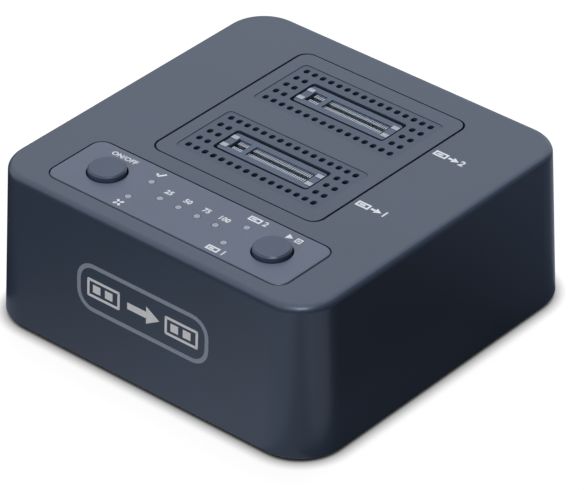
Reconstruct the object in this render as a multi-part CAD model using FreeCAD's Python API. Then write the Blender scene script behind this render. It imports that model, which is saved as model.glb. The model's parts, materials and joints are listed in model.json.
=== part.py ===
import FreeCAD, Part
import os

# A standalone drive duplicator: a small drafted plastic box with two vertical drive card
# sockets, a control panel with two push buttons and eight light points, and a power inlet.
# Row frame: +Z up, -Y is the front with the control panel, origin on the tabletop under
# the middle of the box. Millimetres.

V = FreeCAD.Vector
up = V(0, 0, 1)
tolerance = 1e-4

# Housing
top_width = 82.0
top_depth = 81.1
housing_top = 34.9
top_corner_r = 8.8
draft_slope = 0.0475
side_wall = 2.2
top_wall = 2.6
top_edge_r = 1.5
bottom_chamfer = 0.25

# Base
foot_gap = 0.8
plate_thickness = 2.2
plate_gap = 0.2
foot_r = 4.5
foot_recess = 0.6
foot_recess_gap = 0.1
foot_chamfer = 0.4
foot_side_margin = 8.0
foot_end_margin = 18.55
vent_width = 1.6
vent_length = 15.0
vent_pitch = 4.0
vents_per_row = 8
vent_row_y = 12.0

# Base screws, countersunk, driven up into the long corner bosses
boss_side_margin = 7.0
boss_end_margin = 7.05
boss_r = 3.2
pilot_gap = 0.05
base_screw_r = 1.1
base_screw_length = 10.0
base_head_r = 2.3
base_head_height = 1.3
cross_recess_length = 2.4
cross_recess_width = 0.5
cross_recess_depth = 0.7

# Bay panel, let into the housing top with a fine groove all round
bay_width = 42.6
bay_depth = 47.3
bay_corner_r = 2.5
bay_front_share = 0.36
bay_side_gap = 0.5
bay_end_gap = 0.3
bay_thickness = 1.8
bay_ledge = 1.2

# Perforated grilles round the card sockets, set into the bay panel
grille_spacing = 23.3
grille_width = 36.3
grille_depth = 16.5
grille_corner_r = 1.0
grille_thickness = 1.0
grille_recess = 0.1
grille_ledge = 0.9
grille_fit_gap = 0.1
hole_width = 1.2
hole_length = 1.5
hole_corner = 0.35
hole_pitch_x = 2.17
hole_pitch_y = 3.2
hole_columns = 16
hole_rows = 5
side_columns = 2
slot_width = 24.6
slot_depth = 8.1
slot_corner_r = 0.8

# Drive card sockets, vertical, keyed
socket_width = 23.6
socket_depth = 6.6
socket_corner_r = 0.6
socket_sink = 0.2
card_slot_width = 20.0
card_slot_depth = 1.0
card_slot_reach = 6.0
key_x = -6.1
key_width = 1.2
contact_pitch = 0.5
contact_width = 0.26
contact_depth = 1.3
contact_sink = 0.35
contacts_per_row = 38
clip_length = 1.6
clip_depth = 1.2
clip_y = 1.7
clip_rise = 0.1
clip_gap = 0.05

# Control panel plate, let into the housing top with a groove all round and standing slightly proud
control_width = 61.2
control_depth = 16.4
control_corner_r = 2.7
control_front_margin = 4.75
control_thickness = 0.9
control_pocket = 0.8
control_groove = 0.3
control_chamfer = 0.15

# Push buttons and the tact switches under them
button_end_margin = 9.15
button_offset_y = 0.1
button_r = 3.9
button_rise = 1.2
button_gap = 0.35
button_chamfer = 0.35
button_travel = 0.5
flange_r = 4.9
flange_thickness = 0.8
flange_gap = 0.1
stem_r = 1.6
switch_size = 6.0
switch_height = 3.5
plunger_r = 1.75
plunger_gap = 0.08
plunger_reach = 1.5
plunger_floor_gap = 0.5
plunger_rise = 1.5

# Light points: one clear light guide over surface-mount lamps
guide_pin_r = 0.7
guide_pin_gap = 0.1
guide_web_thickness = 1.0
guide_web_margin = 3.0
guide_foot_width = 1.6
guide_window_margin = 1.2
guide_lamp_gap = 0.3
lamp_length = 1.6
lamp_depth = 0.8
lamp_height = 0.6
status_light_x = 12.4
status_light_rise = 3.1
status_light_drop = 3.7
progress_pitch = 4.8
progress_count = 4
progress_offset_y = -0.2

# Circuit boards
board_thickness = 1.6
board_corner_r = 1.5
socket_board_side_gap = 1.8
socket_board_end_margin = 5.55
socket_board_drop = 10.0
socket_post_side_margin = 3.0
socket_post_end_margin = 5.0
socket_post_panel_gap = 3.4
post_r = 2.6
main_board_side_gap = 0.8
main_board_rear_margin = 2.35
main_board_front_margin = 4.75
standoff_height = 5.0
standoff_side_margin = 3.5
standoff_rear_margin = 5.2
standoff_front_margin = 3.8
board_screw_r = 0.9
board_screw_length = 6.0
board_head_r = 2.1
board_head_height = 1.3
board_hole_gap = 0.2
pilot_depth_spare = 0.6

# Power inlet on the main board, facing the rear wall
jack_side_margin = 12.0
jack_width = 9.0
jack_length = 14.0
jack_height = 11.0
jack_axis_rise = 6.5
jack_bore_r = 3.2
jack_bore_depth = 9.5
jack_pin_r = 1.05
jack_pin_setback = 0.8
jack_wall_gap = 0.3
inlet_hole_r = 5.4

# Parts on the main board
controller_x = 4.0
controller_y = 2.0
controller_size = 14.0
controller_height = 1.2
pad_thickness = 0.5
heatsink_size = 20.0
heatsink_base = 2.0
fin_height = 5.0
fin_thickness = 1.2
fin_count = 6
memory_x = 21.0
memory_y = 8.0
memory_width = 9.0
memory_depth = 13.0
memory_height = 1.0
firmware_x = 20.0
firmware_y = -9.0
firmware_width = 6.0
firmware_depth = 5.0
firmware_height = 1.6
crystal_x = 8.0
crystal_y = -12.0
crystal_width = 3.2
crystal_depth = 2.5
crystal_height = 0.8
inductor_x = -20.0
inductor_y = 7.0
inductor_pitch = 11.0
inductor_count = 2
inductor_size = 7.0
inductor_height = 4.0
capacitor_x = 2.0
capacitor_rear_margin = 8.2
capacitor_pitch = 8.5
capacitor_count = 2
capacitor_r = 3.15
capacitor_height = 7.7
capacitor_base = 1.0
header_front_margin = 15.8
header_rows = 2
header_columns = 12
header_pin_pitch = 2.0
header_pin_size = 0.5
header_hole_size = 0.8
header_tip_gap = 0.8
header_row_depth = 4.4
header_base_height = 2.5
header_end_margin = 1.0
receptacle_height = 8.5
header_pin_height = 10.4

# Places in plan, worked out from the housing inwards
front_edge = -top_depth / 2
rear_edge = top_depth / 2
foot_x = top_width / 2 - foot_side_margin
foot_y = rear_edge - foot_end_margin
boss_x = top_width / 2 - boss_side_margin
boss_y = rear_edge - boss_end_margin
control_y = front_edge + control_front_margin + control_depth / 2
control_rear = control_y + control_depth / 2
bay_spare_depth = rear_edge - control_rear - bay_depth
bay_y = control_rear + bay_front_share * bay_spare_depth + bay_depth / 2
button_x = control_width / 2 - button_end_margin
button_y = control_y + button_offset_y
progress_y = control_y + progress_offset_y
socket_board_width = 2 * (boss_x - boss_r - socket_board_side_gap)
socket_board_depth = top_depth - 2 * socket_board_end_margin
socket_post_x = socket_board_width / 2 - socket_post_side_margin
socket_post_rear_y = socket_board_depth / 2 - socket_post_end_margin
socket_post_front_y = control_rear + socket_post_panel_gap
main_board_width = 2 * (boss_x - boss_r - main_board_side_gap)
main_board_rear = rear_edge - main_board_rear_margin
main_board_front = front_edge + main_board_front_margin
main_board_depth = main_board_rear - main_board_front
main_board_y = (main_board_rear + main_board_front) / 2
standoff_x = main_board_width / 2 - standoff_side_margin
standoff_rear_y = main_board_rear - standoff_rear_margin
standoff_front_y = main_board_front + standoff_front_margin
jack_x = jack_side_margin - main_board_width / 2
header_y = main_board_front + header_front_margin
capacitor_y = main_board_rear - capacitor_rear_margin

# Heights, worked out from the tabletop and the housing top
plate_top = foot_gap + plate_thickness
ceiling = housing_top - top_wall
bay_floor = housing_top - bay_thickness
grille_top = housing_top - grille_recess
grille_floor = grille_top - grille_thickness
socket_board_top = housing_top - socket_board_drop
socket_board_bottom = socket_board_top - board_thickness
socket_top = grille_top - socket_sink
main_board_bottom = plate_top + standoff_height
main_board_top = main_board_bottom + board_thickness
control_floor = housing_top - control_pocket
control_top = control_floor + control_thickness
flange_top = ceiling - flange_gap
flange_bottom = flange_top - flange_thickness
guide_web_bottom = socket_board_top + lamp_height + guide_lamp_gap
guide_web_top = guide_web_bottom + guide_web_thickness
switch_top = socket_board_top + switch_height
plunger_top = switch_top + plunger_rise
bay_y_source = bay_y - grille_spacing / 2
bay_y_target = bay_y + grille_spacing / 2
cut_past = 1.0


def width_at(z):
    return top_width + 2 * draft_slope * (housing_top - z)


def depth_at(z):
    return top_depth + 2 * draft_slope * (housing_top - z)


def corner_r_at(z):
    return top_corner_r + draft_slope * (housing_top - z)


jack_axis_z = main_board_top + jack_axis_rise
jack_face_y = depth_at(main_board_top + jack_height) / 2 - side_wall - jack_wall_gap
jack_floor_y = jack_face_y - jack_bore_depth


# Basic solids, placed by their centre in plan and by their lower and upper heights

def rounded_outline(width, depth, radius, z, x=0.0, y=0.0):
    ends = []
    arcs = []
    for quarter, (side_x, side_y) in enumerate([(1, 1), (-1, 1), (-1, -1), (1, -1)]):
        centre = V(x + side_x * (width / 2 - radius), y + side_y * (depth / 2 - radius), z)
        arc = Part.makeCircle(radius, centre, up, 90 * quarter, 90 * quarter + 90)
        arcs.append(arc)
        ends.append((arc.Vertexes[0].Point, arc.Vertexes[-1].Point))
    edges = []
    for quarter, arc in enumerate(arcs):
        start = ends[quarter][1]
        finish = ends[(quarter + 1) % 4][0]
        edges.append(arc)
        if start.distanceToPoint(finish) > tolerance:
            edges.append(Part.makeLine(start, finish))
    return Part.Wire(edges)


def rounded_plate(width, depth, radius, z_low, z_high, x=0.0, y=0.0):
    outline = rounded_outline(width, depth, radius, z_low, x, y)
    return Part.Face(outline).extrude(up * (z_high - z_low))


def block(width, depth, z_low, z_high, x=0.0, y=0.0):
    corner = V(x - width / 2, y - depth / 2, z_low)
    return Part.makeBox(width, depth, z_high - z_low, corner)


def cut_corner_prism(width, depth, corner, z_low, z_high, x, y):
    half_w = width / 2
    half_d = depth / 2
    points = []
    for side_x, side_y in [(1, 1), (-1, 1), (-1, -1), (1, -1)]:
        on_side = V(x + side_x * half_w, y + side_y * (half_d - corner), z_low)
        on_end = V(x + side_x * (half_w - corner), y + side_y * half_d, z_low)
        points += [on_side, on_end] if side_x == side_y else [on_end, on_side]
    outline = Part.makePolygon(points + points[:1])
    return Part.Face(outline).extrude(up * (z_high - z_low))


def rod(radius, z_low, z_high, x=0.0, y=0.0):
    return Part.makeCylinder(radius, z_high - z_low, V(x, y, z_low), up)


def drafted_block(z_low, z_high, inset):
    outlines = []
    for z in (z_low, z_high):
        width = width_at(z) - 2 * inset
        depth = depth_at(z) - 2 * inset
        outlines.append(rounded_outline(width, depth, corner_r_at(z) - inset, z))
    return Part.makeLoft(outlines, True, True)


def edges_at(shape, z):
    return [edge for edge in shape.Edges if all(abs(v.Z - z) < tolerance for v in edge.Vertexes)]


def four_places(x, rear_y, front_y):
    return [(-x, rear_y), (x, rear_y), (-x, front_y), (x, front_y)]


def evenly_spaced(count, pitch):
    return [(index - (count - 1) / 2) * pitch for index in range(count)]


corner_bosses = four_places(boss_x, boss_y, -boss_y)
feet_places = four_places(foot_x, foot_y, -foot_y)
socket_posts = four_places(socket_post_x, socket_post_rear_y, socket_post_front_y)
standoffs = four_places(standoff_x, standoff_rear_y, standoff_front_y)
button_places = [(-button_x, button_y), (button_x, button_y)]

light_places = [(x, progress_y) for x in evenly_spaced(progress_count, progress_pitch)]
for light_side in (-status_light_x, status_light_x):
    light_places.append((light_side, control_y + status_light_rise))
    light_places.append((light_side, control_y - status_light_drop))
light_span_x = 2 * status_light_x
light_span_y = status_light_rise + status_light_drop
light_middle_y = control_y + (status_light_rise - status_light_drop) / 2


# Housing and base

def make_upper_housing():
    shell = drafted_block(foot_gap, housing_top, 0)
    shell = shell.makeFillet(top_edge_r, edges_at(shell, housing_top))
    shell = shell.makeChamfer(bottom_chamfer, edges_at(shell, foot_gap))
    shell = shell.cut(drafted_block(foot_gap - cut_past, ceiling, side_wall))
    pillars = [rod(boss_r, plate_top, ceiling, x, y) for x, y in corner_bosses]
    pillars += [rod(post_r, socket_board_top, ceiling, x, y) for x, y in socket_posts]
    shell = shell.fuse(pillars)
    cuts = [
        rounded_plate(bay_width + 2 * bay_side_gap, bay_depth + 2 * bay_end_gap,
                      bay_corner_r + bay_end_gap, bay_floor, housing_top + cut_past, 0, bay_y),
        rounded_plate(bay_width - 2 * bay_ledge, bay_depth - 2 * bay_ledge, bay_corner_r,
                      ceiling - cut_past, housing_top, 0, bay_y),
        rounded_plate(control_width + 2 * control_groove, control_depth + 2 * control_groove,
                      control_corner_r + control_groove, control_floor, housing_top + cut_past, 0, control_y),
        Part.makeCylinder(inlet_hole_r, 2 * side_wall + jack_wall_gap,
                          V(jack_x, jack_face_y + jack_wall_gap / 2, jack_axis_z), V(0, 1, 0)),
    ]
    for x, y in button_places:
        cuts.append(rod(button_r + button_gap, ceiling - cut_past, housing_top, x, y))
    cuts.append(block(light_span_x + 2 * guide_window_margin, light_span_y + 2 * guide_window_margin,
                      ceiling - cut_past, housing_top, 0, light_middle_y))
    for x, y in corner_bosses:
        cuts.append(rod(base_screw_r + pilot_gap, plate_top - cut_past,
                        foot_gap + base_screw_length + pilot_depth_spare, x, y))
    for x, y in socket_posts:
        pilot_top = socket_board_bottom + board_screw_length + pilot_depth_spare
        cuts.append(rod(board_screw_r + pilot_gap, socket_board_top - cut_past, pilot_top, x, y))
    return shell.cut(cuts)


def make_bottom_plate():
    inset = side_wall + plate_gap
    plate = rounded_plate(width_at(plate_top) - 2 * inset, depth_at(plate_top) - 2 * inset,
                          corner_r_at(plate_top) - inset, foot_gap, plate_top)
    posts = [rod(post_r, plate_top, main_board_bottom, x, y) for x, y in standoffs]
    plate = plate.fuse(posts)
    cuts = []
    for x, y in feet_places:
        cuts.append(rod(foot_r + foot_recess_gap, foot_gap - cut_past, foot_gap + foot_recess, x, y))
    for x, y in corner_bosses:
        cuts.append(rod(base_screw_r + pilot_gap, foot_gap, plate_top + cut_past, x, y))
        cuts.append(Part.makeCone(base_head_r, base_screw_r, base_head_height, V(x, y, foot_gap), up))
    for x, y in standoffs:
        pilot_bottom = main_board_top - board_screw_length - pilot_depth_spare
        cuts.append(rod(board_screw_r + pilot_gap, pilot_bottom, main_board_bottom + cut_past, x, y))
    for y in (-vent_row_y, vent_row_y):
        for x in evenly_spaced(vents_per_row, vent_pitch):
            cuts.append(block(vent_width, vent_length, foot_gap - cut_past, plate_top + cut_past, x, y))
    return plate.cut(cuts)


def make_rubber_feet():
    feet = []
    for x, y in feet_places:
        foot = rod(foot_r, 0, foot_gap + foot_recess, x, y)
        feet.append(foot.makeChamfer(foot_chamfer, edges_at(foot, 0)))
    return Part.makeCompound(feet)


def cross_recess(x, y, z_low, z_high):
    arm = block(cross_recess_length, cross_recess_width, z_low, z_high, x, y)
    other_arm = block(cross_recess_width, cross_recess_length, z_low, z_high, x, y)
    return arm.fuse(other_arm)


def make_base_screws():
    screws = []
    for x, y in corner_bosses:
        head = Part.makeCone(base_head_r, base_screw_r, base_head_height, V(x, y, foot_gap), up)
        shank = rod(base_screw_r, foot_gap + base_head_height, foot_gap + base_screw_length, x, y)
        screw = head.fuse(shank).removeSplitter()
        screws.append(screw.cut(cross_recess(x, y, foot_gap, foot_gap + cross_recess_depth)))
    return Part.makeCompound(screws)


# A pan-head board screw: its head bears on a board face and its shank runs on from there

def board_screw(x, y, bearing_z, direction):
    shank_end = bearing_z + direction * board_screw_length
    head_end = bearing_z - direction * board_head_height
    shank = rod(board_screw_r, min(bearing_z, shank_end), max(bearing_z, shank_end), x, y)
    head = rod(board_head_r, min(bearing_z, head_end), max(bearing_z, head_end), x, y)
    return head.fuse(shank)


# Bay panel and grilles

def make_bay_panel():
    panel = rounded_plate(bay_width, bay_depth, bay_corner_r, bay_floor, housing_top, 0, bay_y)
    cuts = []
    for y in (bay_y_source, bay_y_target):
        cuts.append(rounded_plate(grille_width + 2 * grille_fit_gap, grille_depth + 2 * grille_fit_gap,
                                  grille_corner_r + grille_fit_gap, grille_floor, housing_top + cut_past, 0, y))
        cuts.append(rounded_plate(grille_width - 2 * grille_ledge, grille_depth - 2 * grille_ledge,
                                  grille_corner_r, bay_floor - cut_past, housing_top, 0, y))
    return panel.cut(cuts)


def make_grille(y):
    plate = rounded_plate(grille_width, grille_depth, grille_corner_r, grille_floor, grille_top, 0, y)
    cuts = [rounded_plate(slot_width, slot_depth, slot_corner_r, grille_floor - cut_past, housing_top, 0, y)]
    for row, hole_y in enumerate(evenly_spaced(hole_rows, hole_pitch_y)):
        full_row = row in (0, hole_rows - 1)
        for column, hole_x in enumerate(evenly_spaced(hole_columns, hole_pitch_x)):
            at_side = column < side_columns or column >= hole_columns - side_columns
            if full_row or at_side:
                cuts.append(cut_corner_prism(hole_width, hole_length, hole_corner, grille_floor - cut_past,
                                             housing_top, hole_x, y + hole_y))
    return plate.cut(cuts)


# Drive card sockets

def clip_places(y):
    clip_x = socket_width / 2 - clip_length / 2
    return four_places(clip_x, y + clip_y, y - clip_y)


def make_socket(y):
    body = rounded_plate(socket_width, socket_depth, socket_corner_r, socket_board_top, socket_top, 0, y)
    pocket_floor = socket_top - card_slot_reach
    pocket = block(card_slot_width, card_slot_depth + 2 * contact_depth, pocket_floor,
                   socket_top + cut_past, 0, y)
    key = block(key_width, card_slot_depth + 2 * contact_depth, pocket_floor, socket_top, key_x, y)
    notches = []
    for x, clip_place_y in clip_places(y):
        notches.append(block(clip_length + 2 * clip_gap, clip_depth + 2 * clip_gap,
                             socket_board_top, socket_top + cut_past, x, clip_place_y))
    return body.cut([pocket.cut(key)] + notches)


def make_contacts(y):
    contacts = []
    pocket_floor = socket_top - card_slot_reach
    contact_top = socket_top - contact_sink
    offset = card_slot_depth / 2 + contact_depth / 2
    clear_of_key = key_width / 2 + contact_width / 2
    for row_y in (y - offset, y + offset):
        for x in evenly_spaced(contacts_per_row, contact_pitch):
            if abs(x - key_x) > clear_of_key:
                contacts.append(block(contact_width, contact_depth, pocket_floor, contact_top, x, row_y))
    return Part.makeCompound(contacts)


def make_clips(y):
    clips = []
    for x, clip_place_y in clip_places(y):
        clips.append(block(clip_length, clip_depth, socket_board_top, socket_top + clip_rise, x, clip_place_y))
    return Part.makeCompound(clips)


# Control panel, buttons, switches and light points

def make_control_panel():
    panel = rounded_plate(control_width, control_depth, control_corner_r,
                          control_floor, control_top, 0, control_y)
    panel = panel.makeChamfer(control_chamfer, edges_at(panel, control_top))
    cuts = [rod(button_r + button_gap, control_floor - cut_past, control_top + cut_past, x, y)
            for x, y in button_places]
    cuts += [rod(guide_pin_r + guide_pin_gap, control_floor - cut_past, control_top + cut_past, x, y)
             for x, y in light_places]
    return panel.cut(cuts)


def make_button(x):
    cap_top = control_top + button_rise
    cap = rod(button_r, flange_bottom, cap_top, x, button_y)
    cap = cap.makeChamfer(button_chamfer, edges_at(cap, cap_top))
    flange = rod(flange_r, flange_bottom, flange_top, x, button_y)
    stem = rod(stem_r, plunger_top, flange_bottom, x, button_y)
    return cap.fuse([flange, stem]).removeSplitter()


def make_switch(x):
    body = block(switch_size, switch_size, socket_board_top, switch_top, x, button_y)
    well_floor = switch_top - plunger_reach - plunger_floor_gap - button_travel
    return body.cut(rod(plunger_r + plunger_gap, well_floor, switch_top + cut_past, x, button_y))


def make_plunger(x):
    return rod(plunger_r, switch_top - plunger_reach, plunger_top, x, button_y)


# The guide stands on the socket board like a bridge over the lamps

def make_light_guide():
    web_width = light_span_x + 2 * guide_web_margin
    web_depth = light_span_y + 2 * guide_window_margin
    web = block(web_width, web_depth, guide_web_bottom, guide_web_top, 0, light_middle_y)
    foot_x = (web_width - guide_foot_width) / 2
    feet = [block(guide_foot_width, web_depth, socket_board_top, guide_web_bottom, x, light_middle_y)
            for x in (-foot_x, foot_x)]
    pins = [rod(guide_pin_r, guide_web_top, control_top, x, y) for x, y in light_places]
    return web.fuse(feet + pins).removeSplitter()


def make_status_lamps():
    return Part.makeCompound([block(lamp_length, lamp_depth, socket_board_top,
                                    socket_board_top + lamp_height, x, y) for x, y in light_places])


# Boards and their screws

def drilled_board(width, depth, z_low, y, holes):
    board = rounded_plate(width, depth, board_corner_r, z_low, z_low + board_thickness, 0, y)
    drills = [rod(board_screw_r + board_hole_gap, z_low - cut_past, z_low + board_thickness + cut_past,
                  hole_x, hole_y) for hole_x, hole_y in holes]
    return board.cut(drills)


def make_socket_board_screws():
    return Part.makeCompound([board_screw(x, y, socket_board_bottom, 1) for x, y in socket_posts])


def make_main_board_screws():
    return Part.makeCompound([board_screw(x, y, main_board_top, -1) for x, y in standoffs])


# Power inlet

def make_dc_jack():
    body = block(jack_width, jack_length, main_board_top, main_board_top + jack_height,
                 jack_x, jack_face_y - jack_length / 2)
    bore = Part.makeCylinder(jack_bore_r, jack_bore_depth + cut_past,
                             V(jack_x, jack_floor_y, jack_axis_z), V(0, 1, 0))
    return body.cut(bore)


def make_dc_jack_pin():
    length = jack_bore_depth - jack_pin_setback
    return Part.makeCylinder(jack_pin_r, length, V(jack_x, jack_floor_y, jack_axis_z), V(0, 1, 0))


# Parts on the main board

def on_main_board(width, depth, height, x, y):
    return block(width, depth, main_board_top, main_board_top + height, x, y)


def make_heatsink():
    base_bottom = main_board_top + controller_height + pad_thickness
    base_top = base_bottom + heatsink_base
    base = block(heatsink_size, heatsink_size, base_bottom, base_top, controller_x, controller_y)
    fin_pitch = (heatsink_size - fin_thickness) / (fin_count - 1)
    fins = [block(fin_thickness, heatsink_size, base_top, base_top + fin_height, controller_x + x, controller_y)
            for x in evenly_spaced(fin_count, fin_pitch)]
    return base.fuse(fins).removeSplitter()


def make_thermal_pad():
    bottom = main_board_top + controller_height
    return block(controller_size, controller_size, bottom, bottom + pad_thickness, controller_x, controller_y)


def make_power_inductors():
    return Part.makeCompound([on_main_board(inductor_size, inductor_size, inductor_height, inductor_x,
                                            inductor_y + y) for y in evenly_spaced(inductor_count, inductor_pitch)])


def make_power_capacitors():
    cans = []
    for x in evenly_spaced(capacitor_count, capacitor_pitch):
        place_x = capacitor_x + x
        base = on_main_board(2 * capacitor_r, 2 * capacitor_r, capacitor_base, place_x, capacitor_y)
        can = rod(capacitor_r, main_board_top + capacitor_base, main_board_top + capacitor_height,
                  place_x, capacitor_y)
        cans.append(base.fuse(can))
    return Part.makeCompound(cans)


def header_pin_places():
    places = []
    for y in evenly_spaced(header_rows, header_pin_pitch):
        for x in evenly_spaced(header_columns, header_pin_pitch):
            places.append((x, header_y + y))
    return places


header_width = (header_columns - 1) * header_pin_pitch + header_pin_size + 2 * header_end_margin


def make_board_header():
    base = on_main_board(header_width, header_row_depth, header_base_height, 0, header_y)
    return base.cut([on_main_board(header_pin_size, header_pin_size, header_base_height + cut_past, x, y)
                     for x, y in header_pin_places()])


def make_header_pins():
    return Part.makeCompound([on_main_board(header_pin_size, header_pin_size, header_pin_height, x, y)
                              for x, y in header_pin_places()])


def make_board_receptacle():
    bottom = socket_board_bottom - receptacle_height
    body = block(header_width, header_row_depth, bottom, socket_board_bottom, 0, header_y)
    return body.cut([block(header_hole_size, header_hole_size, bottom - cut_past,
                           main_board_top + header_pin_height + header_tip_gap, x, y)
                     for x, y in header_pin_places()])


parts = {
    "upper_housing": make_upper_housing(),
    "bottom_plate": make_bottom_plate(),
    "base_screws": make_base_screws(),
    "rubber_feet": make_rubber_feet(),
    "bay_panel": make_bay_panel(),
    "source_grille": make_grille(bay_y_source),
    "target_grille": make_grille(bay_y_target),
    "source_socket": make_socket(bay_y_source),
    "source_contacts": make_contacts(bay_y_source),
    "source_clips": make_clips(bay_y_source),
    "target_socket": make_socket(bay_y_target),
    "target_contacts": make_contacts(bay_y_target),
    "target_clips": make_clips(bay_y_target),
    "control_panel": make_control_panel(),
    "power_button": make_button(-button_x),
    "start_button": make_button(button_x),
    "power_switch": make_switch(-button_x),
    "start_switch": make_switch(button_x),
    "power_plunger": make_plunger(-button_x),
    "start_plunger": make_plunger(button_x),
    "light_guide": make_light_guide(),
    "status_lamps": make_status_lamps(),
    "socket_board": drilled_board(socket_board_width, socket_board_depth, socket_board_bottom, 0, socket_posts),
    "socket_board_screws": make_socket_board_screws(),
    "main_board": drilled_board(main_board_width, main_board_depth, main_board_bottom, main_board_y, standoffs),
    "main_board_screws": make_main_board_screws(),
    "dc_jack": make_dc_jack(),
    "dc_jack_pin": make_dc_jack_pin(),
    "controller_chip": on_main_board(controller_size, controller_size, controller_height,
                                     controller_x, controller_y),
    "thermal_pad": make_thermal_pad(),
    "heatsink": make_heatsink(),
    "memory_chip": on_main_board(memory_width, memory_depth, memory_height, memory_x, memory_y),
    "firmware_chip": on_main_board(firmware_width, firmware_depth, firmware_height, firmware_x, firmware_y),
    "clock_crystal": on_main_board(crystal_width, crystal_depth, crystal_height, crystal_x, crystal_y),
    "power_inductors": make_power_inductors(),
    "power_capacitors": make_power_capacitors(),
    "board_header": make_board_header(),
    "header_pins": make_header_pins(),
    "board_receptacle": make_board_receptacle(),
}

os.makedirs("parts", exist_ok=True)
for node, shape in parts.items():
    shape.exportStep("parts/" + node + ".step")
    print(node, "valid" if shape.isValid() else "INVALID", len(shape.Solids), round(shape.Volume, 2))
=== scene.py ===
import json
import math

import bmesh
import bpy
from mathutils import Matrix, Vector


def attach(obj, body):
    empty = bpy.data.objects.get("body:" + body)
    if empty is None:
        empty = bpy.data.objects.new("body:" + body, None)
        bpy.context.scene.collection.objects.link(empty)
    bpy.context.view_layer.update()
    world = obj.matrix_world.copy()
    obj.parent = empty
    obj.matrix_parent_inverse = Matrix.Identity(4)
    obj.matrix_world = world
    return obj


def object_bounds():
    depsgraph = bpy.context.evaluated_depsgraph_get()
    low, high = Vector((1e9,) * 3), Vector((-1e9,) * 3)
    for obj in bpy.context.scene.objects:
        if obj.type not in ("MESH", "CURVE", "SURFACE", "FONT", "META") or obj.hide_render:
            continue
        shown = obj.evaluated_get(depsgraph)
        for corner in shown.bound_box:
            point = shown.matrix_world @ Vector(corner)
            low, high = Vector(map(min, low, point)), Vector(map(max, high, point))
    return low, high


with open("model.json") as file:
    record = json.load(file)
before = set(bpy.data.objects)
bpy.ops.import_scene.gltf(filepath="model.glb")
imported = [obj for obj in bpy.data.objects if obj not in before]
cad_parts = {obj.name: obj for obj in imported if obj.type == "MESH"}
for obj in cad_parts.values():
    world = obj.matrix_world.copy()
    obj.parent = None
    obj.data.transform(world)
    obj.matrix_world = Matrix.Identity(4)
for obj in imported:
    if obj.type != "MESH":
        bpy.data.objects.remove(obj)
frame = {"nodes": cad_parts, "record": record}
cadBounds = [list(corner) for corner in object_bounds()]
nodes = frame["nodes"]
mm = 0.001

print("stage: camera")

# Metres, degrees and, for the lens, mm. The camera looks at the axis of the housing, shifted right and up
cameraSet = {"azimuth": 40.69, "elevation": 33.9, "distance": 0.8796, "lens": 271.0,
             "lookHeight": 0.01746, "right": 0.00213, "up": -0.00367}


def makeCamera():
    azimuth = math.radians(cameraSet["azimuth"])
    elevation = math.radians(cameraSet["elevation"])
    back = Vector((math.sin(azimuth) * math.cos(elevation), -math.cos(azimuth) * math.cos(elevation),
                   math.sin(elevation)))
    right = Vector((math.cos(azimuth), math.sin(azimuth), 0))
    up = back.cross(right)
    data = bpy.data.cameras.new("studioCamera")
    data.lens = cameraSet["lens"]
    data.sensor_width = 36
    data.clip_start = 0.01
    data.clip_end = 20
    camera = bpy.data.objects.new("studioCamera", data)
    turn = Matrix((right, up, back)).transposed().to_4x4()
    aim = Vector((0, 0, cameraSet["lookHeight"]))
    place = aim + back * cameraSet["distance"] + right * cameraSet["right"] + up * cameraSet["up"]
    camera.matrix_world = Matrix.Translation(place) @ turn
    bpy.context.scene.collection.objects.link(camera)
    bpy.context.scene.camera = camera


makeCamera()
bpy.context.scene.view_settings.view_transform = "Standard"


# Small helpers for colours and nodes

def hexToLinear(hexColour, alpha=1.0):
    channels = [int(hexColour[i:i + 2], 16) / 255 for i in (1, 3, 5)]
    linear = [c / 12.92 if c <= 0.04045 else ((c + 0.055) / 1.055) ** 2.4 for c in channels]
    return (*linear, alpha)


def addNode(tree, kind, inputs=None, **settings):
    node = tree.nodes.new(kind)
    for name, value in settings.items():
        setattr(node, name, value)
    for name, value in (inputs or {}).items():
        if isinstance(value, bpy.types.NodeSocket):
            tree.links.new(value, node.inputs[name])
        else:
            node.inputs[name].default_value = value
    return node


def startMaterial(name):
    material = bpy.data.materials.new(name)
    material.use_nodes = True
    material.node_tree.nodes.clear()
    return material, material.node_tree


def noiseScale(grainMm):
    return 1 / (grainMm * mm)


print("stage: materials")


# Injection-moulded plastic with a spark-eroded skin: a fine grain that breaks up the shine,
# and a faint cloudiness where the melt flowed

def mouldedPlastic(name, colour, roughness, grainMm, grainDepthMm, cloud=0.06, specular=0.5):
    material, tree = startMaterial(name)
    place = addNode(tree, "ShaderNodeTexCoord").outputs["Object"]
    grain = addNode(tree, "ShaderNodeTexNoise", {"Vector": place, "Scale": noiseScale(grainMm), "Detail": 3.0,
                                                 "Roughness": 0.6})
    flow = addNode(tree, "ShaderNodeTexNoise", {"Vector": place, "Scale": noiseScale(14.0), "Detail": 2.0})
    base = hexToLinear(colour)
    low = [c * (1 - cloud) for c in base[:3]] + [1]
    high = [c * (1 + cloud) for c in base[:3]] + [1]
    tone = addNode(tree, "ShaderNodeMix", {"Factor": flow.outputs["Fac"], "A": low, "B": high},
                   data_type="RGBA")
    speck = addNode(tree, "ShaderNodeMapRange", {"Value": grain.outputs["Fac"], "To Min": roughness - 0.06,
                                                    "To Max": roughness + 0.06})
    bump = addNode(tree, "ShaderNodeBump", {"Height": grain.outputs["Fac"], "Distance": grainDepthMm * mm,
                                            "Strength": 0.6})
    shader = addNode(tree, "ShaderNodeBsdfPrincipled", {
        "Base Color": tone.outputs["Result"], "Roughness": speck.outputs["Result"],
        "IOR": 1.53, "Specular IOR Level": specular, "Normal": bump.outputs["Normal"]})
    addNode(tree, "ShaderNodeOutputMaterial", {"Surface": shader.outputs["BSDF"]})
    return material


# Plated, drawn and extruded metals: colour, roughness and grain come from the call

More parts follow.
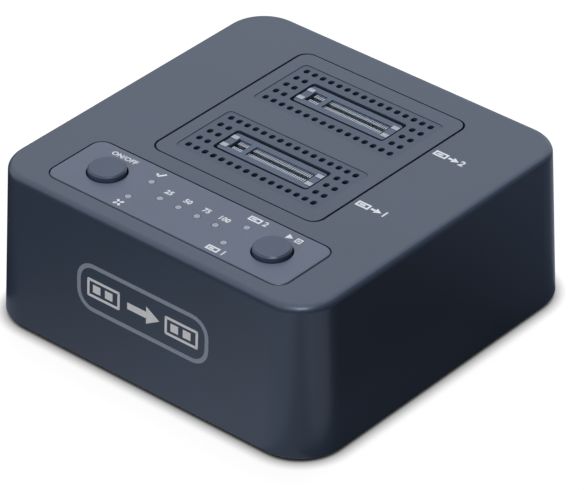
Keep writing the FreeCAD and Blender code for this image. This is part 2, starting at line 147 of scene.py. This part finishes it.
def plainMetal(name, colour, roughness, grainMm):
    material, tree = startMaterial(name)
    place = addNode(tree, "ShaderNodeTexCoord").outputs["Object"]
    grain = addNode(tree, "ShaderNodeTexNoise", {"Vector": place, "Scale": noiseScale(grainMm),
                                                 "Detail": 2.0})
    rough = addNode(tree, "ShaderNodeMapRange", {"Value": grain.outputs["Fac"], "To Min": roughness - 0.08,
                                                 "To Max": roughness + 0.08})
    shader = addNode(tree, "ShaderNodeBsdfPrincipled", {
        "Base Color": hexToLinear(colour), "Metallic": 1.0, "Roughness": rough.outputs["Result"]})
    addNode(tree, "ShaderNodeOutputMaterial", {"Surface": shader.outputs["BSDF"]})
    return material


# Clear acrylic and lamp resin: pale, glossy and slightly hazy, with a light of their own when glow is above 0

def lightGuideAcrylic(name, colour, glow):
    material, tree = startMaterial(name)
    place = addNode(tree, "ShaderNodeTexCoord").outputs["Object"]
    haze = addNode(tree, "ShaderNodeTexNoise", {"Vector": place, "Scale": noiseScale(0.8), "Detail": 1.0})
    base = hexToLinear(colour)
    dim = [c * 0.85 for c in base[:3]] + [1]
    tone = addNode(tree, "ShaderNodeMix", {"Factor": haze.outputs["Fac"], "A": dim, "B": base},
                   data_type="RGBA")
    shader = addNode(tree, "ShaderNodeBsdfPrincipled", {
        "Base Color": tone.outputs["Result"], "Roughness": 0.25, "IOR": 1.49,
        "Emission Color": base, "Emission Strength": glow})
    addNode(tree, "ShaderNodeOutputMaterial", {"Surface": shader.outputs["BSDF"]})
    return material


# Pad-printed ink: dense, with a slightly uneven film

def padPrintInk(name, colour):
    material, tree = startMaterial(name)
    place = addNode(tree, "ShaderNodeTexCoord").outputs["Object"]
    film = addNode(tree, "ShaderNodeTexNoise", {"Vector": place, "Scale": noiseScale(0.5), "Detail": 2.0})
    base = hexToLinear(colour)
    thin = [c * 0.8 for c in base[:3]] + [1]
    tone = addNode(tree, "ShaderNodeMix", {"Factor": film.outputs["Fac"], "A": thin, "B": base},
                   data_type="RGBA")
    shader = addNode(tree, "ShaderNodeBsdfPrincipled", {
        "Base Color": tone.outputs["Result"], "Roughness": 0.5, "IOR": 1.5})
    addNode(tree, "ShaderNodeOutputMaterial", {"Surface": shader.outputs["BSDF"]})
    return material


materials = {
    "housing_plastic": mouldedPlastic("spark_eroded_abs_housing", "#394456", 0.34, 0.35, 0.02),
    "grille_plastic": mouldedPlastic("spark_eroded_abs_grille", "#394456", 0.45, 0.35, 0.02),
    "panel_plastic": mouldedPlastic("satin_abs_panel", "#4f586a", 0.42, 0.3, 0.01),
    "button_plastic": mouldedPlastic("satin_abs_button", "#3a4558", 0.42, 0.3, 0.01),
    "socket_plastic": mouldedPlastic("liquid_crystal_polymer_socket", "#455164", 0.5, 0.3, 0.01),
    "connector_plastic": mouldedPlastic("nylon_connector", "#15171a", 0.5, 0.3, 0.01),
    "foot_rubber": mouldedPlastic("moulded_rubber_foot", "#17181a", 0.8, 0.4, 0.02, specular=0.3),
    "board_laminate": mouldedPlastic("solder_masked_glass_epoxy", "#123f2a", 0.4, 0.5, 0.005),
    "chip_epoxy": mouldedPlastic("moulded_epoxy_chip", "#1b1c1f", 0.6, 0.3, 0.01),
    "pad_silicone": mouldedPlastic("silicone_pad", "#8f979f", 0.7, 0.4, 0.01),
    "inductor_ferrite": mouldedPlastic("pressed_ferrite", "#2e2f31", 0.6, 0.3, 0.02),
    "screw_steel": plainMetal("black_zinc_steel", "#4b4c50", 0.4, 0.5),
    "contact_plating": plainMetal("tin_flashed_bronze", "#c6ceda", 0.5, 0.4),
    "clip_tin": plainMetal("tin_plated_brass", "#b2b9c5", 0.5, 0.4),
    "heatsink_aluminium": plainMetal("extruded_aluminium", "#c4c6c9", 0.4, 0.6),
    "capacitor_can": plainMetal("drawn_aluminium_can", "#c9cbcd", 0.3, 0.6),
    "guide_acrylic": lightGuideAcrylic("clear_acrylic_guide", "#8a939f", 0.0),
    "lamp_resin": lightGuideAcrylic("lamp_resin", "#d8d8c8", 0.0),
}
printInk = padPrintInk("white_pad_print", "#d0d5dc")
signInk = padPrintInk("bright_white_pad_print", "#f2f4f8")
frameInk = padPrintInk("grey_pad_print", "#98a2b2")

for subpart in frame["record"]["subparts"]:
    mesh = nodes[subpart["node"]].data
    mesh.materials.clear()
    mesh.materials.append(materials[subpart["material_slot"]])


print("stage: printed marks")

# Pad-printed marks, sizes and places in mm. Words and numbers are plain ones; the rest are simple signs.
markSet = {"inkThickness": 0.03, "lift": 0.01, "panelTop": 35.0, "housingTop": 34.9,
           "progressY": -25.2, "progressSize": 1.45,
           "progressX": [("25", -7.1), ("50", -2.2), ("75", 2.7), ("100", 7.2)],
           "powerPlace": (-22.2, -21.6), "powerSize": 1.4,
           "startPlace": (21.9, -21.6), "playRadius": 1.0, "playX": -1.2,
           "stopX": 1.2, "stopFrame": 1.5, "stopLine": 0.28, "stopCore": 0.5,
           "statusLine": 0.494, "tickLong": (1.9, -12.3, -21.5, 55), "tickShort": (0.9, -13.2, -21.8, -45),
           "crossLength": 2.2, "crossPlace": (-12.4, -34.1),
           "statusCards": [("2", 12.8, -21.4), ("1", 13.1, -34.2)],
           "statusCard": (3.0, 1.5), "statusCardX": -0.9, "statusCardLine": 0.39,
           "statusChip": (1.2, 0.4), "statusChipX": -1.2,
           "statusDigitSize": 1.6, "statusDigitX": 1.7,
           "bayPlaces": [("1", 26.3, -3.7), ("2", 26.3, 20.2)], "bayCard": (3.2, 1.7), "bayCardX": -2.0,
           "bayCardLine": 0.45, "bayChip": (1.4, 0.45), "bayChipX": -2.2, "arrowShaft": (1.1, 0.6),
           "arrowShaftX": 0.5, "arrowHeadRadius": 1.0, "arrowHeadX": 1.5,
           "bayDigitSize": 1.9, "bayDigitX": 3.3}
badgeSet = {"width": 34.4, "height": 10.9, "cornerR": 4.2, "line": 0.95, "centreZ": 18.2, "slope": 0.0475,
            "topY": -40.55, "topZ": 34.9, "inkThickness": 0.05, "lift": 0.02,
            "cardX": 10.2, "card": (8.6, 4.2), "cardCornerR": 0.4, "cardLine": 0.6, "chipX": (-1.8, 1.4),
            "chip": (2.0, 1.8), "shaft": (5.0, 1.5), "shaftX": -1.4, "headRadius": 2.3, "headX": 2.2}


def addPlate(bm, width, depth, x=0.0, y=0.0, cornerR=0.0, line=0.0, turn=0.0):
    made = bmesh.ops.create_grid(bm, x_segments=1, y_segments=1, size=0.5)["verts"]
    bmesh.ops.scale(bm, vec=(width, depth, 1), verts=made)
    faces = list({face for vert in made for face in vert.link_faces})
    if cornerR:
        bevelled = bmesh.ops.bevel(bm, geom=made, offset=cornerR, affect="VERTICES", segments=6, profile=0.5,
                                   material=-1)
        made = bevelled["verts"]
        faces = list({face for vert in made for face in vert.link_faces})
    if line:
        bmesh.ops.inset_region(bm, faces=faces, thickness=line, use_boundary=True, use_even_offset=True)
        made = list({vert for face in faces for vert in face.verts} | set(made))
        bmesh.ops.delete(bm, geom=faces, context="FACES_ONLY")
    made = [vert for vert in made if vert.is_valid]
    bmesh.ops.rotate(bm, verts=made, cent=(0, 0, 0), matrix=Matrix.Rotation(math.radians(turn), 3, "Z"))
    bmesh.ops.translate(bm, vec=(x, y, 0), verts=made)


def addTriangle(bm, radius, x=0.0, y=0.0, turn=0.0):
    made = bmesh.ops.create_circle(bm, cap_ends=True, segments=3, radius=radius)["verts"]
    bmesh.ops.rotate(bm, verts=made, cent=(0, 0, 0), matrix=Matrix.Rotation(math.radians(turn), 3, "Z"))
    bmesh.ops.translate(bm, vec=(x, y, 0), verts=made)


# Letters come from a text curve, made a mesh, and are then scaled to their height and set in place
def addText(bm, words, height, x=0.0, y=0.0):
    curve = bpy.data.curves.new("letters", "FONT")
    curve.body = words
    curve.align_x = "CENTER"
    curve.align_y = "CENTER"
    curve.resolution_u = 3
    curve.offset = 0.04
    letters = bpy.data.objects.new("letters", curve)
    bpy.context.scene.collection.objects.link(letters)
    shape = letters.evaluated_get(bpy.context.evaluated_depsgraph_get()).to_mesh()
    before = set(bm.verts)
    bm.from_mesh(shape)
    made = [vert for vert in bm.verts if vert not in before]
    bpy.data.objects.remove(letters)
    bpy.data.curves.remove(curve)
    tall = max(vert.co.y for vert in made) - min(vert.co.y for vert in made)
    scale = height / tall
    bmesh.ops.scale(bm, vec=(scale, scale, 1), verts=made)
    bmesh.ops.translate(bm, vec=(x, y, 0), verts=made)


# A flat drawing in mm becomes a thin film of ink at its place on the chassis
def printMark(name, bm, place, thickness, ink):
    bmesh.ops.triangulate(bm, faces=bm.faces)
    for face in bm.faces:
        if face.normal.z < 0:
            face.normal_flip()
    top = bmesh.ops.extrude_face_region(bm, geom=list(bm.faces), use_keep_orig=True)["geom"]
    raised = [item for item in top if isinstance(item, bmesh.types.BMVert)]
    bmesh.ops.translate(bm, vec=(0, 0, thickness), verts=raised)
    bmesh.ops.remove_doubles(bm, verts=bm.verts, dist=0.0005)
    bmesh.ops.recalc_face_normals(bm, faces=bm.faces)
    bmesh.ops.transform(bm, matrix=place, verts=bm.verts)
    bmesh.ops.scale(bm, vec=(mm, mm, mm), verts=bm.verts)
    mesh = bpy.data.meshes.new(name)
    bm.to_mesh(mesh)
    bm.free()
    mesh.materials.append(ink)
    mark = bpy.data.objects.new(name, mesh)
    bpy.context.scene.collection.objects.link(mark)
    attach(mark, "chassis")


def printOnTop(name, bm, x, y, z):
    place = Matrix.Translation((x, y, z - markSet["lift"]))
    printMark(name, bm, place, markSet["inkThickness"], printInk)


def printPower():
    bm = bmesh.new()
    addText(bm, "ON/OFF", markSet["powerSize"])
    printOnTop("powerWords", bm, *markSet["powerPlace"], markSet["panelTop"])


# A play triangle, and a small frame with a dot in it
def printStart():
    bm = bmesh.new()
    addTriangle(bm, markSet["playRadius"], markSet["playX"], 0, -90)
    addPlate(bm, markSet["stopFrame"], markSet["stopFrame"], markSet["stopX"], 0, line=markSet["stopLine"])
    addPlate(bm, markSet["stopCore"], markSet["stopCore"], markSet["stopX"], 0)
    printOnTop("startSign", bm, *markSet["startPlace"], markSet["panelTop"])


def printProgress():
    bm = bmesh.new()
    for words, x in markSet["progressX"]:
        addText(bm, words, markSet["progressSize"], x, 0)
    printOnTop("progressNumbers", bm, 0, markSet["progressY"], markSet["panelTop"])


# Small signs beside the four status lights: a tick, a cross, and a card with the number of its bay
def printStatusSigns():
    bm = bmesh.new()
    for length, x, y, turn in (markSet["tickLong"], markSet["tickShort"]):
        addPlate(bm, length, markSet["statusLine"], x, y, turn=turn)
    for turn in (45, -45):
        addPlate(bm, markSet["crossLength"], markSet["statusLine"], *markSet["crossPlace"], turn=turn)
    for words, x, y in markSet["statusCards"]:
        addPlate(bm, *markSet["statusCard"], x + markSet["statusCardX"], y, line=markSet["statusCardLine"])
        addPlate(bm, *markSet["statusChip"], x + markSet["statusChipX"], y)
        addText(bm, words, markSet["statusDigitSize"], x + markSet["statusDigitX"], y)
    printOnTop("statusSigns", bm, 0, 0, markSet["panelTop"])


# Beside each bay: a card, an arrow and the bay's number
def printBaySigns():
    for words, x, y in markSet["bayPlaces"]:
        bm = bmesh.new()
        addPlate(bm, *markSet["bayCard"], markSet["bayCardX"], 0, line=markSet["bayCardLine"])
        addPlate(bm, *markSet["bayChip"], markSet["bayChipX"], 0)
        addPlate(bm, *markSet["arrowShaft"], markSet["arrowShaftX"], 0)
        addTriangle(bm, markSet["arrowHeadRadius"], markSet["arrowHeadX"], 0, -90)
        addText(bm, words, markSet["bayDigitSize"], markSet["bayDigitX"], 0)
        printOnTop("bay" + words + "Sign", bm, x, y, markSet["housingTop"])


def onFrontWall():
    tilt = math.pi / 2 - math.atan(badgeSet["slope"])
    y = badgeSet["topY"] - badgeSet["slope"] * (badgeSet["topZ"] - badgeSet["centreZ"])
    place = Matrix.Translation((0, y, badgeSet["centreZ"])) @ Matrix.Rotation(tilt, 4, "X")
    return place @ Matrix.Translation((0, 0, -badgeSet["lift"]))


# Front sign: a plain rounded frame, and in it one card copied onto another
def printFrontSign():
    frameDrawing = bmesh.new()
    addPlate(frameDrawing, badgeSet["width"], badgeSet["height"], cornerR=badgeSet["cornerR"],
             line=badgeSet["line"])
    printMark("frontFrame", frameDrawing, onFrontWall(), badgeSet["inkThickness"], frameInk)
    signs = bmesh.new()
    for x in (-badgeSet["cardX"], badgeSet["cardX"]):
        addPlate(signs, *badgeSet["card"], x, 0, cornerR=badgeSet["cardCornerR"], line=badgeSet["cardLine"])
        for chipX in badgeSet["chipX"]:
            addPlate(signs, *badgeSet["chip"], x + chipX, 0)
    addPlate(signs, *badgeSet["shaft"], badgeSet["shaftX"], 0)
    addTriangle(signs, badgeSet["headRadius"], badgeSet["headX"], 0, -90)
    printMark("frontSign", signs, onFrontWall(), badgeSet["inkThickness"], signInk)


printPower()
printStart()
printProgress()
printStatusSigns()
printBaySigns()
printFrontSign()


print("stage: studio")

# Lamp powers in watts, lamp places and sizes in metres. Cards, flags and the soft box are placed in mm:
# the cards lie low round the object, the flags stand round it and keep reflections dark
studioSet = {"floorSize": 6.0, "floorGrey": "#595959", "floorGlow": 0.94, "skyFill": 0.22,
             # Next: the reach in mm of the painted contact shadow in the floor's glow, and the occlusion
             # level at which it is darkest
             "paintedShadowReach": 3.0, "paintedShadowStart": 0.3,
             "keyPower": 21.6, "keySize": 0.6, "keyPlace": (-0.24, 0.44, 1.4),
             "fillPower": 8.2, "fillSize": 0.8, "fillPlace": (0.1, -1.42, 0.5),
             "cardLift": 0.3, "cardTint": "#e6efff", "sideTint": "#c0d6ff",
             "roundCardGlow": (0.07, 0.66), "stripCardGlow": (0.22, 0.36), "sideCardGlow": (0.0, 0.3),
             "sideNearGlow": (0.1, 0.03), "sideFarGlow": (0.04, 0.3), "flagGlow": (0.0, 0.0),
             "softboxGlow": (15.0, 15.0), "softboxPlace": (76, -78, 129), "softboxAzimuth": 43,
             "softboxElevation": 60, "softboxWidth": 44, "softboxHeight": 36,
             "cardReach": 500, "roundRamp": (-90, -10), "roundAlong": (1, 0.5, 0),
             "stripCorners": [(30, -42), (44, -34), (144, -140), (120, -150)], "stripRamp": (-90, -42),
             "sideInside": 2, "sideCut": 14, "sideNearY": -43, "sideMiddleY": 22, "sideFarY": 60,
             "sideOuterY": 190, "sideRamp": (22, 72), "leftGap": 0.6, "leftNearY": -50}

# Each flag stands upright from its first to its second point, with its height last
flagSet = {"rightFlag": ((150, -100), (150, 500), 300), "frontFlag": ((-300, -240), (150, -240), 150),
           "nearFlag": ((150, -240), (290, -100), 150), "leftFlag": ((-150, 500), (-150, -30), 60)}


# Gives the strength to the camera, reflections and light passing through, and none to the light on the object
def seenDirectly(tree, strength):
    rays = addNode(tree, "ShaderNodeLightPath")
    first = addNode(tree, "ShaderNodeMath", {0: rays.outputs["Is Camera Ray"],
                                             1: rays.outputs["Is Glossy Ray"]}, operation="MAXIMUM")
    either = addNode(tree, "ShaderNodeMath", {0: first.outputs[0], 1: rays.outputs["Is Transmission Ray"]},
                     operation="MAXIMUM")
    shown = addNode(tree, "ShaderNodeMath", {0: either.outputs[0], 1: strength}, operation="MULTIPLY")
    return shown.outputs[0]


# The floor glows white to the eye. Its glow holds a painted contact shadow, darkened by ambient occlusion
# only where the object nearly touches it
def makeFloor():
    bm = bmesh.new()
    bmesh.ops.create_grid(bm, x_segments=1, y_segments=1, size=studioSet["floorSize"] / 2)
    mesh = bpy.data.meshes.new("studioFloor")
    bm.to_mesh(mesh)
    bm.free()
    floor = bpy.data.objects.new("studioFloor", mesh)
    bpy.context.scene.collection.objects.link(floor)
    material, tree = startMaterial("matt_paper_floor_painted_shadow")
    shader = addNode(tree, "ShaderNodeBsdfDiffuse", {"Color": hexToLinear(studioSet["floorGrey"])})
    # Painted contact shadow: where ambient occlusion finds the object close, the floor's glow is darkened
    contact = addNode(tree, "ShaderNodeAmbientOcclusion", {"Distance": studioSet["paintedShadowReach"] * mm})
    shade = addNode(tree, "ShaderNodeMapRange", {"Value": contact.outputs["AO"],
                                                 "From Min": studioSet["paintedShadowStart"], "From Max": 1.0,
                                                 "To Min": 0.0, "To Max": 1.0})
    strength = addNode(tree, "ShaderNodeMath", {0: shade.outputs["Result"], 1: studioSet["floorGlow"]},
                       operation="MULTIPLY")
    glow = addNode(tree, "ShaderNodeEmission", {"Color": (1, 1, 1, 1),
                                                "Strength": seenDirectly(tree, strength.outputs[0])})
    both = addNode(tree, "ShaderNodeAddShader", {0: shader.outputs["BSDF"], 1: glow.outputs["Emission"]})
    addNode(tree, "ShaderNodeOutputMaterial", {"Surface": both.outputs["Shader"]})
    mesh.materials.append(material)


def makeSky():
    world = bpy.data.worlds.new("studioWorld")
    world.use_nodes = True
    tree = world.node_tree
    tree.nodes.clear()
    shown = seenDirectly(tree, 1.0)
    strength = addNode(tree, "ShaderNodeMath", {0: shown, 1: studioSet["skyFill"]}, operation="MAXIMUM")
    sky = addNode(tree, "ShaderNodeBackground", {"Color": (1, 1, 1, 1), "Strength": strength.outputs[0]})
    addNode(tree, "ShaderNodeOutputWorld", {"Surface": sky.outputs["Background"]})
    bpy.context.scene.world = world


def makeLamp(name, power, size, place):
    data = bpy.data.lights.new(name, "AREA")
    data.shape = "SQUARE"
    data.size = size
    data.energy = power
    lamp = bpy.data.objects.new(name, data)
    lamp.location = place
    lamp.rotation_euler = (-Vector(place)).to_track_quat("-Z", "Y").to_euler()
    lamp.visible_glossy = False
    bpy.context.scene.collection.objects.link(lamp)


# A card that shows only as a reflection: its glow runs from one value to another along a direction, in mm
def makeCard(name, corners, along, start, end, glows, tint="cardTint"):
    mesh = bpy.data.meshes.new(name)
    bm = bmesh.new()
    bm.faces.new([bm.verts.new((x * mm, y * mm, z * mm)) for x, y, z in corners])
    bm.to_mesh(mesh)
    bm.free()
    card = bpy.data.objects.new(name, mesh)
    bpy.context.scene.collection.objects.link(card)
    material, tree = startMaterial(name + "_board")
    place = addNode(tree, "ShaderNodeTexCoord").outputs["Object"]
    reach = addNode(tree, "ShaderNodeVectorMath", {0: place, 1: along}, operation="DOT_PRODUCT")
    ramp = addNode(tree, "ShaderNodeMapRange", {"Value": reach.outputs["Value"], "From Min": start * mm,
                                                "From Max": end * mm, "To Min": glows[0], "To Max": glows[1]})
    glow = addNode(tree, "ShaderNodeEmission", {"Color": hexToLinear(studioSet[tint]),
                                                "Strength": ramp.outputs["Result"]})
    addNode(tree, "ShaderNodeOutputMaterial", {"Surface": glow.outputs["Emission"]})
    mesh.materials.append(material)
    card.visible_camera = False
    card.visible_diffuse = False
    card.visible_transmission = False
    card.visible_shadow = False


# A small soft box before the near corner, square to the line from the corner
def softboxCorners():
    azimuth = math.radians(studioSet["softboxAzimuth"])
    elevation = math.radians(studioSet["softboxElevation"])
    across = Vector((math.cos(azimuth), math.sin(azimuth), 0)) * studioSet["softboxWidth"] / 2
    rise = Vector((-math.sin(elevation) * math.sin(azimuth), math.sin(elevation) * math.cos(azimuth),
                   math.cos(elevation))) * studioSet["softboxHeight"] / 2
    centre = Vector(studioSet["softboxPlace"])
    return [centre - across - rise, centre + across - rise, centre + across + rise, centre - across + rise]


def makeFlag(name):
    (startX, startY), (endX, endY), height = flagSet[name]
    corners = [(startX, startY, 0), (endX, endY, 0), (endX, endY, height), (startX, startY, height)]
    makeCard(name, corners, (0, 1, 0), 0, 100, studioSet["flagGlow"])


def makeCards():
    half = cadBounds[1][0] / mm
    low, middle, high, top = (studioSet["cardLift"] * step for step in (1, 2, 3, 4))
    far = studioSet["cardReach"]
    inner, cut = half - studioSet["sideInside"], studioSet["sideCut"]
    nearY, middleY, farY = studioSet["sideNearY"], studioSet["sideMiddleY"], studioSet["sideFarY"]
    leftX, leftY = -half - studioSet["leftGap"], studioSet["leftNearY"]
    along = (0, 1, 0)
    makeCard("roundCard", [(-far, -far, low), (far, -far, low), (far, far, low), (-far, far, low)],
             studioSet["roundAlong"], *studioSet["roundRamp"], studioSet["roundCardGlow"])
    makeCard("stripCard", [(x, y, middle) for x, y in studioSet["stripCorners"]], along,
             *studioSet["stripRamp"], studioSet["stripCardGlow"])
    makeCard("sideCard", [(inner, nearY, high), (half + cut, nearY + cut, high),
                          (half + far, studioSet["sideOuterY"], high), (inner, far, high)], along,
             *studioSet["sideRamp"], studioSet["sideCardGlow"], "sideTint")
    for name, start, end, cornerCut in (("sideNear", nearY, middleY, cut), ("sideFar", middleY, farY, 0)):
        makeCard(name + "Card", [(inner, start, top), (half + cut, start + cornerCut, top),
                                 (half + cut, end, top), (inner, end, top)], along, start, end,
                 studioSet[name + "Glow"], "sideTint")
    makeCard("leftCard", [(leftX, leftY, high), (leftX, far, high), (-half - far, far, high),
                          (-half - far, leftY, high)], along, 0, 100, studioSet["flagGlow"])
    for name in ("rightFlag", "frontFlag", "nearFlag"):
        makeFlag(name)
    makeCard("softbox", softboxCorners(), along, 0, 100, studioSet["softboxGlow"])
    makeFlag("leftFlag")


makeFloor()
makeSky()
makeLamp("keyLamp", studioSet["keyPower"], studioSet["keySize"], studioSet["keyPlace"])
makeLamp("fillLamp", studioSet["fillPower"], studioSet["fillSize"], studioSet["fillPlace"])
makeCards()
